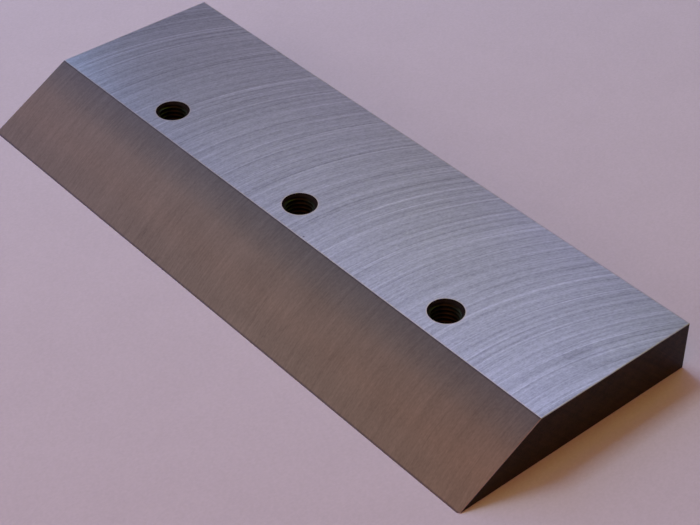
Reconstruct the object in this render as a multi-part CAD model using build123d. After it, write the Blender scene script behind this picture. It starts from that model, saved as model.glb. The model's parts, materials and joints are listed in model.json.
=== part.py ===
from build123d import *
import os
from math import radians, tan

# Counter knife: one bar of hardened tool steel, ground on its long faces and bolted down by three tapped holes.
# Millimetres. X runs along the cutting edge, Y from the edge towards the back and Z up.
# The origin is at the middle of the underside, halfway from the cutting edge to the back face.

# The bar
length = 257.0
width = 100.0
thickness = 19.0

# The bevel, ground from the cutting edge on the underside up to the top face
bevel_angle = 30.0

# The row of tapped holes, M12 coarse, right through the bar
hole_count = 3
hole_pitch = 74.0
hole_set_back = 11.7
tapping_bore = 10.2
countersink_mouth = 12.5
countersink_angle = 90.0

# Sharp corners taken off with a stone. The bevel's two long edges are left as ground.
edge_break = 0.2

# Where the section's corners lie, from the sizes above
cutting_edge_y = -width / 2
back_y = width / 2
bevel_run = thickness / tan(radians(bevel_angle))
bevel_top_y = cutting_edge_y + bevel_run
hole_line_y = bevel_top_y + hole_set_back


def bevelled_bar():
    """The bar's section, a rectangle with its front cut to a wedge, drawn out to the knife's length."""
    with BuildPart() as bar:
        with BuildSketch(Plane.YZ):
            with BuildLine():
                Polyline(
                    (cutting_edge_y, 0),
                    (back_y, 0),
                    (back_y, thickness),
                    (bevel_top_y, thickness),
                    close=True,
                )
            make_face()
        extrude(amount=length / 2, both=True)
    return bar.part


def is_left_as_ground(edge):
    """True for the bevel's long edges: the cutting edge, and the blunt one where the top face begins."""
    middle = edge.center()
    return abs(middle.X) < edge_break and middle.Y < bevel_top_y + edge_break


def break_edges(bar):
    """Take a small flat off every edge of the bar but the two that bound the bevel."""
    dull = [edge for edge in bar.edges() if not is_left_as_ground(edge)]
    return chamfer(dull, edge_break)


def tapped_holes():
    """The holes' tools: a tapping bore with a countersink at each mouth, so the first thread starts clean."""
    bore_radius = tapping_bore / 2
    mouth_radius = countersink_mouth / 2
    sink_depth = (mouth_radius - bore_radius) / tan(radians(countersink_angle / 2))
    with BuildPart() as drill:
        with BuildSketch(Plane.XZ):
            with BuildLine():
                Polyline(
                    (0, 0),
                    (mouth_radius, 0),
                    (bore_radius, sink_depth),
                    (bore_radius, thickness - sink_depth),
                    (mouth_radius, thickness),
                    (0, thickness),
                    close=True,
                )
            make_face()
        revolve(axis=Axis.Z)
    places = GridLocations(hole_pitch, 0, hole_count, 1).locations
    return [Pos(0, hole_line_y, 0) * place * drill.part for place in places]


def counter_knife():
    """The whole knife: the bar, its broken edges and its holes."""
    knife = break_edges(bevelled_bar())
    for hole in tapped_holes():
        knife = knife - hole
    return knife


os.makedirs("parts", exist_ok=True)
export_step(counter_knife(), "parts/counter_knife.step")
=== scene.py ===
import json
import math

import bmesh
import bpy
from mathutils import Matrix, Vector


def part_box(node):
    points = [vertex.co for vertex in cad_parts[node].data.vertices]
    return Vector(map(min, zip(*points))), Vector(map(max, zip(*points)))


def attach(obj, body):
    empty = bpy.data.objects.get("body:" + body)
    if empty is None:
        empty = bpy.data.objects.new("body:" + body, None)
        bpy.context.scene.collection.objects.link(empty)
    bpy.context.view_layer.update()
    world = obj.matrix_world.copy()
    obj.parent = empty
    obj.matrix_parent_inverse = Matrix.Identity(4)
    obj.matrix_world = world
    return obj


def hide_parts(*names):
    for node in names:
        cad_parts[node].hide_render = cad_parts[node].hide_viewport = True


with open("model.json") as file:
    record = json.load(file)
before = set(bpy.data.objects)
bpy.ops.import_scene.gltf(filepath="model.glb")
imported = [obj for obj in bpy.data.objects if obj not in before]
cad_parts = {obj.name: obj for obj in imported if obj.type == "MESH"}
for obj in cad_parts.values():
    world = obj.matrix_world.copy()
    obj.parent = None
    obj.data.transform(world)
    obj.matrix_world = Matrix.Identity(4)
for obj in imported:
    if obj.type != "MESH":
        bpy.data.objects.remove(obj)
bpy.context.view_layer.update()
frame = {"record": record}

# The bar: a length of hardened tool steel, milled square and then ground away along its front to a wedge
# of 30 degrees. A stone has taken the sharp corners off, all but the bevel's two long edges, and use has
# blunted the cutting edge's two tips.
bar_low, bar_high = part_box("counter_knife")
bar_size = bar_high - bar_low
bevel_angle = math.radians(30)
bevel_run = bar_size.z / math.tan(bevel_angle)
edge_break = 0.0002
tip_wear = 0.0009

bpy.ops.object.select_all(action="DESELECT")
bpy.ops.mesh.primitive_cube_add(size=1, location=(bar_low + bar_high) / 2, scale=bar_size)
knife = bpy.context.object
knife.name = "ground_knife"


def select_edges(piece, wanted):
    """In edit mode, select the edges whose two ends pass the test, and nothing else."""
    shape = bmesh.from_edit_mesh(piece.data)
    bpy.ops.mesh.select_all(action="DESELECT")
    for edge in shape.edges:
        edge.select_set(wanted([piece.matrix_world @ end.co for end in edge.verts]))
    bmesh.update_edit_mesh(piece.data)


def is_top_front(ends):
    """True for the square bar's upper front edge, which is moved back to make the bevel."""
    return all(end.y < bar_low.y + edge_break and end.z > bar_high.z - edge_break for end in ends)


def bounds_bevel(ends):
    """True for the bevel's two long edges, which stay as the wheel left them."""
    lengthwise = ends[0].x * ends[1].x < 0
    return lengthwise and all(end.y < bar_low.y + bevel_run + edge_break for end in ends)


bpy.ops.object.mode_set(mode="EDIT")
bpy.ops.mesh.select_mode(type="EDGE")
select_edges(knife, is_top_front)
bpy.ops.transform.translate(value=(0, bevel_run, 0))
select_edges(knife, lambda ends: not bounds_bevel(ends))
bpy.ops.mesh.bevel(offset=edge_break, segments=2)
for side in (-1, 1):
    bpy.ops.mesh.select_all(action="SELECT")
    bpy.ops.mesh.bisect(
        plane_co=(side * (bar_high.x - tip_wear), bar_low.y, 0),
        plane_no=(side, -1, 0),
        clear_outer=True,
        use_fill=True,
    )
bpy.ops.object.mode_set(mode="OBJECT")

# The tapped holes: each is drilled 10.2 mm, cut with an M12 coarse tap and countersunk at both mouths.
# The tap is made as its cutting shape, one turn of thread screwed up the hole, and taken out of the bar.
holes = [Vector(mount["pos_m"]) for mount in frame["record"]["mounts"] if mount["kind"] == "threaded_hole"]
bore_radius = 0.0051
thread_radius = 0.0060
thread_pitch = 0.00175
mouth_radius = 0.00625
thread_depth = thread_radius - bore_radius
thread_flank = thread_depth * math.tan(math.radians(30))
root_flat = thread_pitch / 8
crest_flat = thread_pitch - root_flat - 2 * thread_flank
spare_turns = 5
thread_facets = 96
weld_distance = 0.000002
mouth_facets = 128
mouth_turn = math.radians(1.3)


def cut_away(piece, tool):
    """Take the tool's shape out of the piece, and then take the tool away."""
    cut = piece.modifiers.new("cut", "BOOLEAN")
    cut.operation = "DIFFERENCE"
    cut.solver = "EXACT"
    cut.object = tool
    bpy.ops.object.select_all(action="DESELECT")
    bpy.context.view_layer.objects.active = piece
    piece.select_set(True)
    bpy.ops.object.modifier_apply(modifier=cut.name)
    bpy.data.objects.remove(tool)


def make_tap(hole):
    """The tap's thread, from below the bar to above it, closed by a flat cut at each end."""
    start = (hole.x, hole.y, bar_low.z - 2 * thread_pitch)
    bpy.ops.object.select_all(action="DESELECT")
    bpy.ops.mesh.primitive_plane_add(size=bore_radius, location=start)
    tap = bpy.context.object
    bpy.ops.object.mode_set(mode="EDIT")
    bpy.ops.mesh.select_mode(type="VERT")
    bpy.ops.mesh.merge(type="CENTER")
    bpy.ops.transform.translate(value=(bore_radius, 0, 0))
    profile = (
        (0, crest_flat),
        (thread_depth, thread_flank),
        (0, root_flat),
        (-thread_depth, thread_flank),
    )
    for outward, upward in profile:
        bpy.ops.mesh.extrude_region_move(TRANSFORM_OT_translate={"value": (outward, 0, upward)})
    bpy.ops.object.mode_set(mode="OBJECT")
    screw = tap.modifiers.new("thread", "SCREW")
    screw.angle = math.tau
    screw.screw_offset = thread_pitch
    screw.iterations = math.ceil(bar_size.z / thread_pitch) + spare_turns
    screw.steps = thread_facets
    screw.render_steps = thread_facets
    bpy.ops.object.modifier_apply(modifier=screw.name)
    bpy.ops.object.mode_set(mode="EDIT")
    bpy.ops.mesh.select_all(action="SELECT")
    bpy.ops.mesh.remove_doubles(threshold=weld_distance)
    for level, side in ((bar_low.z - thread_pitch / 2, -1), (bar_high.z + thread_pitch / 2, 1)):
        bpy.ops.mesh.select_all(action="SELECT")
        bpy.ops.mesh.bisect(
            plane_co=(hole.x, hole.y, level),
            plane_no=(0, 0, side),
            clear_outer=True,
            use_fill=True,
        )
    bpy.ops.mesh.select_all(action="SELECT")
    bpy.ops.mesh.normals_make_consistent(inside=False)
    bpy.ops.object.mode_set(mode="OBJECT")
    return tap


def make_countersink(hole, face, side):
    """A right-angled countersink that opens to the mouth's radius where it meets the face.

    It is turned a little, so that none of its corners falls on a corner of the thread.
    """
    clear = mouth_radius / 4
    depth = mouth_radius + clear
    bpy.ops.object.select_all(action="DESELECT")
    bpy.ops.mesh.primitive_cone_add(
        vertices=mouth_facets,
        radius1=depth,
        radius2=0,
        depth=depth,
        location=(hole.x, hole.y, face + side * (clear - depth / 2)),
        rotation=(math.pi if side > 0 else 0, 0, mouth_turn),
    )
    return bpy.context.object


for hole in holes:
    cut_away(knife, make_tap(hole))
    cut_away(knife, make_countersink(hole, bar_high.z, 1))
    cut_away(knife, make_countersink(hole, bar_low.z, -1))

bpy.ops.object.select_all(action="DESELECT")
knife.select_set(True)
bpy.context.view_layer.objects.active = knife
bpy.ops.object.transform_apply(location=True, rotation=True, scale=True)
bpy.ops.object.shade_smooth_by_angle(angle=math.radians(5))

# The ground faces: the top and the underside are bright steel, finished on a rotary table, so the wheel
# leaves arcs across the bar. The same set of arcs comes back with each turn's feed of 9.83 mm.
# Lengths in the finishes are in millimetres, and marks are in levels, each one step lighter or darker.
millimetres = 1000
wheel_radius = 130.0
wheel_centre = -13.24
wheel_feed = 9.83
first_turn = 0.3
turn_profile = (
    (0.0, -2.8), (0.6, 0.5), (1.4, 3.6), (2.1, 0.0), (2.8, -4.2), (3.8, -1.0), (4.5, -1.4), (5.0, 0.0),
    (5.5, 1.8), (6.3, 5.9), (6.8, 0.0), (7.15, -3.1), (7.7, 0.0), (8.15, 2.4), (8.6, 0.0), (9.3, -3.2),
    (9.83, -2.8),
)
turn_range = 12
turn_weight = 1.2
steel_colour = (0.42, 0.42, 0.44)
steel_step = 0.016
groove_depth = 0.000003
marks_range = 24
ridge_steepness = 4
ridge_foot = 1.4
# A painted highlight: a thin warm light line on the top face along its edges and the holes' rims.
edge_highlight_colour = (0.58, 0.49, 0.4)
edge_highlight_width = 0.4
edge_highlight_peak = 1.3
edge_highlight_strength = 0.8
# A small pit in the top face, not cut into the mesh; its colour is a painted shade of the pit.
pit_place = (14.8, -15.9, 19)
pit_radius = 0.55
pit_shade_colour = (0.1, 0.07, 0.09)
smudge_place = (116, 11, 19)
smudge_radius = 8


def new_material(name):
    """An empty material and its shader."""
    made = bpy.data.materials.new(name)
    made.use_nodes = True
    return made, made.node_tree.nodes["Principled BSDF"]


def new_ground_steel(name):
    """A material of bright steel whose fine grooves stretch its highlights, and its shader."""
    made, shader = new_material(name)
    shader.inputs["Metallic"].default_value = 1
    shader.inputs["Roughness"].default_value = 0.3
    shader.inputs["Anisotropic"].default_value = 0.8
    return made, shader


def add_node(material, kind, **settings):
    """A new node of this kind, with its settings made."""
    node = material.node_tree.nodes.new(kind)
    for setting, value in settings.items():
        setattr(node, setting, value)
    return node


def link(material, source, target):
    """Join one node's output to another node's input."""
    material.node_tree.links.new(source, target)


def work_out(material, operation, first, second=None, third=None, clamp=False):
    """A Math node whose inputs are numbers or other nodes' outputs; gives its own output."""
    node = add_node(material, "ShaderNodeMath", operation=operation, use_clamp=clamp)
    for place, value in enumerate((first, second, third)):
        if value is None:
            continue
        if isinstance(value, (int, float)):
            node.inputs[place].default_value = value
        else:
            link(material, value, node.inputs[place])
    return node.outputs[0]


def place_in_mm(material, centre=(0, 0, 0)):
    """The point's own X, Y and Z on the piece, counted from the centre given."""
    place = add_node(material, "ShaderNodeTexCoord")
    scaled = add_node(material, "ShaderNodeMapping")
    scaled.inputs["Scale"].default_value = [millimetres] * 3
    scaled.inputs["Location"].default_value = [-value for value in centre]
    parts = add_node(material, "ShaderNodeSeparateXYZ")
    link(material, place.outputs["Object"], scaled.inputs["Vector"])
    link(material, scaled.outputs["Vector"], parts.inputs["Vector"])
    return list(parts.outputs)


def direction(material, x=0, y=0, z=0):
    """A vector from three values, each a number or a node's output."""
    made = add_node(material, "ShaderNodeCombineXYZ")
    for axis, value in zip("XYZ", (x, y, z)):
        if isinstance(value, (int, float)):
            made.inputs[axis].default_value = value
        else:
            link(material, value, made.inputs[axis])
    return made.outputs["Vector"]


def reach_of_wheel(material, offset, radius):
    """How far sideways a wheel of this radius reaches, at an offset from its centre."""
    opposite = work_out(material, "MULTIPLY", offset, -1)
    return work_out(material, "SQRT", work_out(material, "MULTIPLY_ADD", offset, opposite, radius**2))


def streaks(material, across, along, width, length, seed):
    """Noise drawn out into streaks of about this width and length; it runs from about -1 to 1."""
    point = direction(
        material,
        work_out(material, "DIVIDE", across, width),
        work_out(material, "DIVIDE", along, length),
        seed,
    )
    noise = add_node(material, "ShaderNodeTexNoise", noise_dimensions="3D")
    noise.inputs["Scale"].default_value = 1
    noise.inputs["Detail"].default_value = 0
    link(material, point, noise.inputs["Vector"])
    return work_out(material, "MULTIPLY_ADD", noise.outputs["Fac"], 2, -1)


def hair_lines(material, across, along, width, length, seed):
    """Single thin scratches: the streaks' highest ridges, from 0 beside them to 1 on top."""
    ridges = streaks(material, across, along, width, length, seed)
    return work_out(material, "MULTIPLY_ADD", ridges, ridge_steepness, -ridge_foot, clamp=True)


def add_up(material, *parts):
    """The sum of several patterns, each given with its weight."""
    total = 0
    for pattern, weight in parts:
        total = work_out(material, "MULTIPLY_ADD", pattern, weight, total)
    return total


def shade(material, colour, levels, step):
    """The colour made lighter or darker by a step for each level of the pattern."""
    mix = add_node(material, "ShaderNodeVectorMath", operation="SCALE")
    if isinstance(colour, tuple):
        mix.inputs[0].default_value = colour
    else:
        link(material, colour, mix.inputs[0])
    link(material, work_out(material, "MULTIPLY_ADD", levels, step, 1), mix.inputs["Scale"])
    return mix.outputs["Vector"]


def ramp_of(material, value, stops, length):
    """The colour for a place along this length; the stops are places with their colours."""
    node = add_node(material, "ShaderNodeValToRGB")
    link(material, value, node.inputs["Fac"])
    ramp = node.color_ramp
    while len(ramp.elements) < len(stops):
        ramp.elements.new(0.5)
    for element, (place, colour) in zip(ramp.elements, stops):
        element.position = place / length
        element.color = (*colour, 1)
    return node.outputs["Color"]


def emboss(material, shader, levels, depth):
    """Bumps that follow the pattern; their whole range of levels is as deep as given, in metres."""
    bump = add_node(material, "ShaderNodeBump")
    bump.inputs["Distance"].default_value = depth
    height = work_out(material, "MULTIPLY_ADD", levels, 1 / marks_range, 0.5)
    link(material, height, bump.inputs["Height"])
    link(material, bump.outputs["Normal"], shader.inputs["Normal"])


def spot(material, centre, radius):
    """A soft round mark, 1 at its centre and 0 from its radius outwards."""
    place = add_node(material, "ShaderNodeTexCoord")
    away = add_node(material, "ShaderNodeVectorMath", operation="DISTANCE")
    link(material, place.outputs["Object"], away.inputs[0])
    away.inputs[1].default_value = [value / millimetres for value in centre]
    return work_out(material, "MULTIPLY_ADD", away.outputs["Value"], -millimetres / radius, 1, clamp=True)


def blend_to(material, colour, factor, other):
    """The colour turned into the other colour where the factor is 1."""
    mix = add_node(material, "ShaderNodeMix", data_type="RGBA")
    link(material, factor, mix.inputs["Factor"])
    link(material, colour, mix.inputs["A"])
    mix.inputs["B"].default_value = (*other, 1)
    return mix.outputs["Result"]


ground_face, steel = new_ground_steel("ground_face")
bar_x, bar_y = place_in_mm(ground_face, (0, wheel_centre, 0))[:2]
wheel_reach = reach_of_wheel(ground_face, bar_y, wheel_radius)
arc_place = work_out(ground_face, "ADD", bar_x, work_out(ground_face, "SUBTRACT", wheel_reach, wheel_radius))
across_grooves = direction(ground_face, wheel_reach, work_out(ground_face, "MULTIPLY", bar_y, -1))
link(ground_face, across_grooves, steel.inputs["Tangent"])

from_first_turn = work_out(ground_face, "SUBTRACT", arc_place, first_turn)
turn_place = work_out(ground_face, "FRACT", work_out(ground_face, "DIVIDE", from_first_turn, wheel_feed))
turn_stops = [(place, [0.5 + level / turn_range] * 3) for place, level in turn_profile]
turn_marks = work_out(
    ground_face,
    "MULTIPLY_ADD",
    ramp_of(ground_face, turn_place, turn_stops, wheel_feed),
    turn_range * turn_weight,
    -turn_range * turn_weight / 2,
)
all_marks = add_up(
    ground_face,
    (turn_marks, 1),
    (streaks(ground_face, arc_place, bar_y, 0.3, 55, 1.5), 8.8),
    (streaks(ground_face, arc_place, bar_y, 0.75, 50, 4.5), 6.4),
    (streaks(ground_face, arc_place, bar_y, 2.4, 60, 8.5), 2),
    (hair_lines(ground_face, arc_place, bar_y, 0.5, 70, 17.5), 18),
    (hair_lines(ground_face, arc_place, bar_y, 0.55, 70, 21.5), -11),
    (streaks(ground_face, arc_place, bar_y, 0.35, 0.8, 11.5), 12),
    (streaks(ground_face, arc_place, bar_y, 0.8, 2.2, 14.5), 6.5),
    (spot(ground_face, smudge_place, smudge_radius), -9),
)

hole_pitch = (holes[1].x - holes[0].x) * millimetres
hole_line = holes[0].y * millimetres - wheel_centre
to_hole = direction(
    ground_face,
    work_out(ground_face, "WRAP", bar_x, hole_pitch / 2, -hole_pitch / 2),
    work_out(ground_face, "SUBTRACT", bar_y, hole_line),
)
hole_distance = add_node(ground_face, "ShaderNodeVectorMath", operation="LENGTH")
link(ground_face, to_hole, hole_distance.inputs[0])
rim_radius = mouth_radius * millimetres
rim_distance = work_out(ground_face, "SUBTRACT", hole_distance.outputs["Value"], rim_radius)
from_middle = work_out(ground_face, "ABSOLUTE", bar_x)
end_distance = work_out(ground_face, "SUBTRACT", bar_high.x * millimetres, from_middle)
back_distance = work_out(ground_face, "SUBTRACT", bar_high.y * millimetres - wheel_centre, bar_y)
bevel_top = (bar_low.y + bevel_run) * millimetres - wheel_centre
bevel_distance = work_out(ground_face, "ABSOLUTE", work_out(ground_face, "SUBTRACT", bar_y, bevel_top))
edge_distance = work_out(
    ground_face,
    "MINIMUM",
    work_out(ground_face, "MINIMUM", rim_distance, bevel_distance),
    work_out(ground_face, "MINIMUM", end_distance, back_distance),
)
# The painted highlight along the top face's edges and the holes' rims, strongest at each edge.
painted_edge_highlight = work_out(
    ground_face, "MULTIPLY_ADD", edge_distance, -1 / edge_highlight_width, edge_highlight_peak, clamp=True
)
painted_edge_highlight = work_out(ground_face, "MULTIPLY", painted_edge_highlight, edge_highlight_strength)

face_colour = shade(ground_face, steel_colour, all_marks, steel_step)
face_colour = blend_to(ground_face, face_colour, painted_edge_highlight, edge_highlight_colour)
# The pit's painted shade.
face_colour = blend_to(ground_face, face_colour, spot(ground_face, pit_place, pit_radius), pit_shade_colour)
link(ground_face, face_colour, steel.inputs["Base Color"])
emboss(ground_face, steel, all_marks, groove_depth)

# The ground bevel: a finer wheel, whose marks run up the slope and lean over towards the cutting edge.
# Its colour is a little warmer halfway up, and is painted darker and bluer towards the upper edge: a painted
# # shade, where the slope reflects less of the warm room. The thin dark line along the cutting edge is a
# # painted shadow where the edge meets the floor.
bevel_wheel_radius = 110.0
bevel_wheel_height = 27.0
bevel_step = 0.02
bevel_groove_depth = 0.000002
slope_length = bevel_run / math.cos(bevel_angle) * millimetres
# The dark colour of the painted shadow along the cutting edge.
edge_shadow_colour = (0.23, 0.23, 0.31)
# Painted shading up the slope, in mm from the cutting edge: a painted shadow along the edge, then steel, a
# little warmer halfway up, and painted shade, darker and bluer, near the upper edge.
painted_slope_shade = (
    (0.0, edge_shadow_colour),
    (0.35, edge_shadow_colour),
    (0.8, (0.405, 0.405, 0.425)),
    (6.0, (0.406, 0.406, 0.424)),
    (14.0, (0.44, 0.427, 0.436)),
    (24.0, (0.415, 0.415, 0.436)),
    (29.0, (0.347, 0.372, 0.42)),
    (36.0, (0.284, 0.327, 0.407)),
    (37.3, (0.28, 0.322, 0.404)),
    (37.7, (0.2, 0.22, 0.3)),
)

ground_bevel, steel = new_ground_steel("ground_bevel")
bar_x, bar_y = place_in_mm(ground_bevel, (0, bar_low.y * millimetres, 0))[:2]
up_slope = work_out(ground_bevel, "DIVIDE", bar_y, math.cos(bevel_angle))
above_centre = work_out(ground_bevel, "SUBTRACT", up_slope, bevel_wheel_height)
wheel_reach = reach_of_wheel(ground_bevel, above_centre, bevel_wheel_radius)
wheel_lead = work_out(ground_bevel, "SUBTRACT", wheel_reach, bevel_wheel_radius)
arc_place = work_out(ground_bevel, "ADD", bar_x, wheel_lead)
across_grooves = direction(
    ground_bevel,
    wheel_reach,
    work_out(ground_bevel, "MULTIPLY", above_centre, -math.cos(bevel_angle)),
    work_out(ground_bevel, "MULTIPLY", above_centre, -math.sin(bevel_angle)),
)
link(ground_bevel, across_grooves, steel.inputs["Tangent"])
all_marks = add_up(
    ground_bevel,
    (streaks(ground_bevel, arc_place, above_centre, 0.4, 20, 2.5), 5),
    (streaks(ground_bevel, arc_place, above_centre, 1.3, 34, 6.5), 3.2),
    (streaks(ground_bevel, arc_place, above_centre, 2.6, 26, 4.5), 2),
    (streaks(ground_bevel, arc_place, above_centre, 0.4, 0.9, 8.5), 6),
    (streaks(ground_bevel, arc_place, above_centre, 0.6, 3.5, 9.5), 3.5),
    (streaks(ground_bevel, bar_x, up_slope, 14, 9, 12.5), 3.5),
)
slope_place = work_out(ground_bevel, "DIVIDE", up_slope, slope_length)
slope_shade_colour = ramp_of(ground_bevel, slope_place, painted_slope_shade, slope_length)
link(ground_bevel, shade(ground_bevel, slope_shade_colour, all_marks, bevel_step), steel.inputs["Base Color"])
emboss(ground_bevel, steel, all_marks, bevel_groove_depth)

# The ends: they are as the saw left them, and the hardening fire has covered them with dense dark brown
# scale. The saw's faint slanting lines and a slight mottle of thicker scale still show.
scale_colour = (0.024, 0.011, 0.005)
scale_step = 0.06
scale_thickness = 0.00002

hardening_scale, scale = new_material("hardening_scale")
scale.inputs["Roughness"].default_value = 0.5
scale.inputs["Specular IOR Level"].default_value = 0.16
bar_x, bar_y, bar_z = place_in_mm(hardening_scale)
down_slant = work_out(hardening_scale, "ADD", bar_y, bar_z)
along_slant = work_out(hardening_scale, "SUBTRACT", bar_y, bar_z)
scale_marks = add_up(
    hardening_scale,
    (streaks(hardening_scale, down_slant, along_slant, 0.9, 30, 3.5), 6),
    (streaks(hardening_scale, bar_y, bar_z, 3.5, 2.6, 7.5), 8),
    (streaks(hardening_scale, bar_y, bar_z, 0.5, 0.5, 9.5), 10),
)
shaded_scale = shade(hardening_scale, scale_colour, scale_marks, scale_step)
link(hardening_scale, shaded_scale, scale.inputs["Base Color"])
emboss(hardening_scale, scale, scale_marks, scale_thickness)

# The holes' insides: the threads are burnt dark in the fire but smooth from the tap, so each turn still
# catches some light, patchily, where the scale is thinner. The countersinks are duller and rougher.
thread_colour = (0.036, 0.042, 0.034)
thread_step = 0.05
rim_colour = (0.0126, 0.0075, 0.0072)
rim_step = 0.06
patchy_roughness = 0.01

burnt_thread, scale = new_material("burnt_thread")
scale.inputs["Metallic"].default_value = 1
bar_x, bar_y, bar_z = place_in_mm(burnt_thread)
round_hole = work_out(burnt_thread, "ADD", bar_x, bar_y)
across_hole = work_out(burnt_thread, "SUBTRACT", bar_x, bar_y)
thread_marks = add_up(
    burnt_thread,
    (streaks(burnt_thread, round_hole, bar_z, 2.2, 3.1, 2.5), 8),
    (streaks(burnt_thread, bar_z, across_hole, 0.22, 4.0, 5.5), 5),
)
thread_roughness = work_out(burnt_thread, "MULTIPLY_ADD", thread_marks, patchy_roughness, 0.5)
link(burnt_thread, shade(burnt_thread, thread_colour, thread_marks, thread_step), scale.inputs["Base Color"])
link(burnt_thread, thread_roughness, scale.inputs["Roughness"])

burnt_rim, scale = new_material("burnt_rim")
scale.inputs["Specular IOR Level"].default_value = 0.04
bar_x, bar_y = place_in_mm(burnt_rim)[:2]
rim_marks = add_up(
    burnt_rim,
    (streaks(burnt_rim, bar_x, bar_y, 0.45, 0.45, 3.5), 6),
    (streaks(burnt_rim, bar_x, bar_y, 2.1, 1.8, 6.5), 6),
)
rim_roughness = work_out(burnt_rim, "MULTIPLY_ADD", rim_marks, patchy_roughness, 0.6)
link(burnt_rim, shade(burnt_rim, rim_colour, rim_marks, rim_step), scale.inputs["Base Color"])
link(burnt_rim, rim_roughness, scale.inputs["Roughness"])

# The stoned edges: a hand stone has drawn its own short marks along each sharp corner, so the narrow
# flats it leaves are duller than the ground faces.
stoned_colour = (0.4, 0.36, 0.38)
stoned_step = 0.02
stoned_unevenness = 0.008

stoned_edge, steel = new_material("stoned_edge")
steel.inputs["Metallic"].default_value = 1
bar_x, bar_y, bar_z = place_in_mm(stoned_edge)
along_edge = work_out(stoned_edge, "ADD", bar_x, bar_y)
edge_marks = add_up(
    stoned_edge,
    (streaks(stoned_edge, along_edge, bar_z, 1.6, 0.12, 4.5), 8),
    (streaks(stoned_edge, along_edge, bar_z, 5.0, 2.0, 8.5), 8),
)
edge_roughness = work_out(stoned_edge, "MULTIPLY_ADD", edge_marks, stoned_unevenness, 0.5)
link(stoned_edge, shade(stoned_edge, stoned_colour, edge_marks, stoned_step), steel.inputs["Base Color"])
link(stoned_edge, edge_roughness, steel.inputs["Roughness"])

# The ground back: a plain surface grinder with a straight table has drawn its marks along the bar, so
# they are finer and straighter than the arcs on the top.
ground_back, steel = new_ground_steel("ground_back")
bar_x, bar_y, bar_z = place_in_mm(ground_back)
all_marks = add_up(
    ground_back,
    (streaks(ground_back, bar_z, bar_x, 0.25, 40, 4.5), 14),
    (streaks(ground_back, bar_z, bar_x, 0.8, 70, 6.5), 12),
    (streaks(ground_back, bar_z, bar_x, 0.4, 0.9, 8.5), 8),
)
link(ground_back, shade(ground_back, steel_colour, all_marks, steel_step), steel.inputs["Base Color"])
link(ground_back, direction(ground_back, z=1), steel.inputs["Tangent"])
emboss(ground_back, steel, all_marks, groove_depth)

# The finished knife: one piece of steel, so each face takes the finish of the wheel, stone or fire that
# made it last. A face is told by the way it looks: flat along an axis, up the bevel, or inside a hole.
flat = 0.99
countersink_tilt = (0.6, 0.8)
slope_facing = Vector((0, -math.sin(bevel_angle), math.cos(bevel_angle)))
finishes = (ground_face, ground_bevel, hardening_scale, burnt_thread, burnt_rim, stoned_edge, ground_back)
for finish in finishes:
    knife.data.materials.append(finish)
for face in knife.data.polygons:
    middle = face.center
    facing = face.normal
    if abs(facing.z) > flat:
        finish = ground_face
    elif any(math.hypot(middle.x - hole.x, middle.y - hole.y) < mouth_radius for hole in holes):
        in_countersink = countersink_tilt[0] < abs(facing.z) < countersink_tilt[1]
        finish = burnt_rim if in_countersink else burnt_thread
    elif facing.dot(slope_facing) > flat:
        finish = ground_bevel
    elif abs(facing.x) > flat:
        finish = hardening_scale
    elif facing.y > flat:
        finish = ground_back
    else:
        finish = stoned_edge
    face.material_index = finishes.index(finish)

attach(knife, "root")
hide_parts("counter_knife")

# The floor: a plain sheet of pale paper with a soft mottle and short fibres. It ends just short of the
# lowest lamps, so there is no part of it behind them, which they would leave dark.
floor_size = 2.8
paper_colour = (0.6, 0.5, 0.62)
paper_step = 0.02

bpy.ops.object.select_all(action="DESELECT")
bpy.ops.mesh.primitive_plane_add(size=floor_size)
floor = bpy.context.object
floor.name = "floor"
paper, sheet = new_material("pale_floor")
sheet.inputs["Roughness"].default_value = 0.9
sheet.inputs["Specular IOR Level"].default_value = 0.1
floor_x, floor_y = place_in_mm(paper)[:2]
paper_marks = add_up(
    paper,
    (streaks(paper, floor_x, floor_y, 14, 18, 2.5), 1),
    (streaks(paper, floor_x, floor_y, 0.7, 1.0, 5.5), 2.6),
)
link(paper, shade(paper, paper_colour, paper_marks, paper_step), sheet.inputs["Base Color"])
floor.data.materials.append(paper)

# The camera: it stands off the bar's right front corner, just over 0.6 m from its middle, and looks down
# at it from about 39 degrees up through a long lens.
camera_place = (0.380935, -0.311946, 0.392585)
camera_turn = (50.7275, -0.3803, 49.4373)
lens_length = 91.627
film_width = 36

bpy.ops.object.camera_add(
    location=camera_place,
    rotation=[math.radians(turn) for turn in camera_turn],
)
camera = bpy.context.object
camera.data.sensor_width = film_width
camera.data.lens = lens_length
bpy.context.scene.camera = camera

# The lights: cool windows on the left, a wide soft front, a pale wall behind and two warm lamps. They
# hang in a ring round the knife, in a dim warm room that is paler near the floor.
lamp_distance = 1.5
room_colours = (
    (0.06, (0.42, 0.36, 0.43)),
    (0.2, (0.12, 0.07, 0.05)),
)


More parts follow.
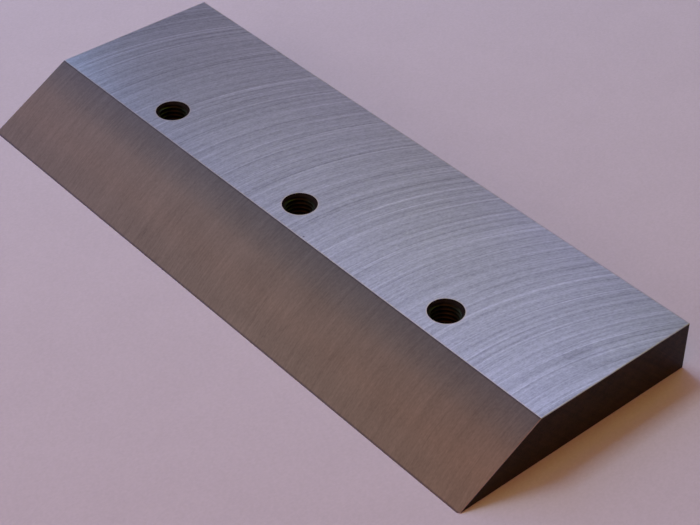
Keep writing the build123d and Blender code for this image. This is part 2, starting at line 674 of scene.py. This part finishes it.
def hang_light(name, azimuth, elevation, width, height, watts):
    """A soft light turned to face the knife; azimuth is counted from +X towards +Y.

    The watts are those of its red, green and blue.
    """
    azimuth = math.radians(azimuth)
    elevation = math.radians(elevation)
    level = math.cos(elevation)
    away = Vector((math.cos(azimuth) * level, math.sin(azimuth) * level, math.sin(elevation)))
    bpy.ops.object.light_add(
        type="AREA",
        location=away * lamp_distance,
        rotation=away.to_track_quat("Z", "Y").to_euler(),
    )
    lamp = bpy.context.object
    lamp.name = name
    lamp.data.shape = "RECTANGLE"
    lamp.data.size = width
    lamp.data.size_y = height
    lamp.data.energy = max(watts)
    lamp.data.color = [part / max(watts) for part in watts]


hang_light("window_top", 181, 62, 0.42, 0.42, (4.69, 6.74, 7.14))
hang_light("window", 165, 41, 0.45, 0.9, (2.18, 3.42, 5.83))
hang_light("window_front", 190, 36, 0.5, 0.5, (0.22, 0.2, 0.22))
hang_light("window_back", 145, 44, 0.4, 0.4, (0.05, 0.06, 0.31))
hang_light("wall", 133, 48, 0.5, 0.5, (0.67, 0.69, 0.65))
hang_light("wall_side", 108, 54, 0.7, 0.5, (0.0, 0.02, 1.55))
hang_light("front_low", 250, 20, 2.0, 0.9, (5.6, 5.6, 5.0))
hang_light("front_wide", 250, 28, 2.6, 1.4, (2.27, 1.19, 1.1))
hang_light("front_side", 215, 24, 1.6, 1.1, (0.0, 0.0, 0.4))
hang_light("front_high", 225, 40, 0.7, 0.7, (0.33, 0.35, 0.22))
hang_light("lamp_back", 85, 62, 0.5, 0.5, (2.23, 2.62, 0.0))
hang_light("lamp_front", 310, 60, 1.0, 1.0, (3.38, 0.6, 0.0))

world = bpy.data.worlds.new("room")
bpy.context.scene.world = world
world.use_nodes = True
room_light = world.node_tree
sky = room_light.nodes.new("ShaderNodeTexCoord")
sky_height = room_light.nodes.new("ShaderNodeSeparateXYZ")
walls = room_light.nodes.new("ShaderNodeValToRGB")
walls.color_ramp.interpolation = "EASE"
for element, (height, colour) in zip(walls.color_ramp.elements, room_colours):
    element.position = height
    element.color = (*colour, 1)
room_light.links.new(sky.outputs["Generated"], sky_height.inputs["Vector"])
room_light.links.new(sky_height.outputs["Z"], walls.inputs["Fac"])
room_light.links.new(walls.outputs["Color"], room_light.nodes["Background"].inputs["Color"])
bpy.context.scene.view_settings.view_transform = "Standard"
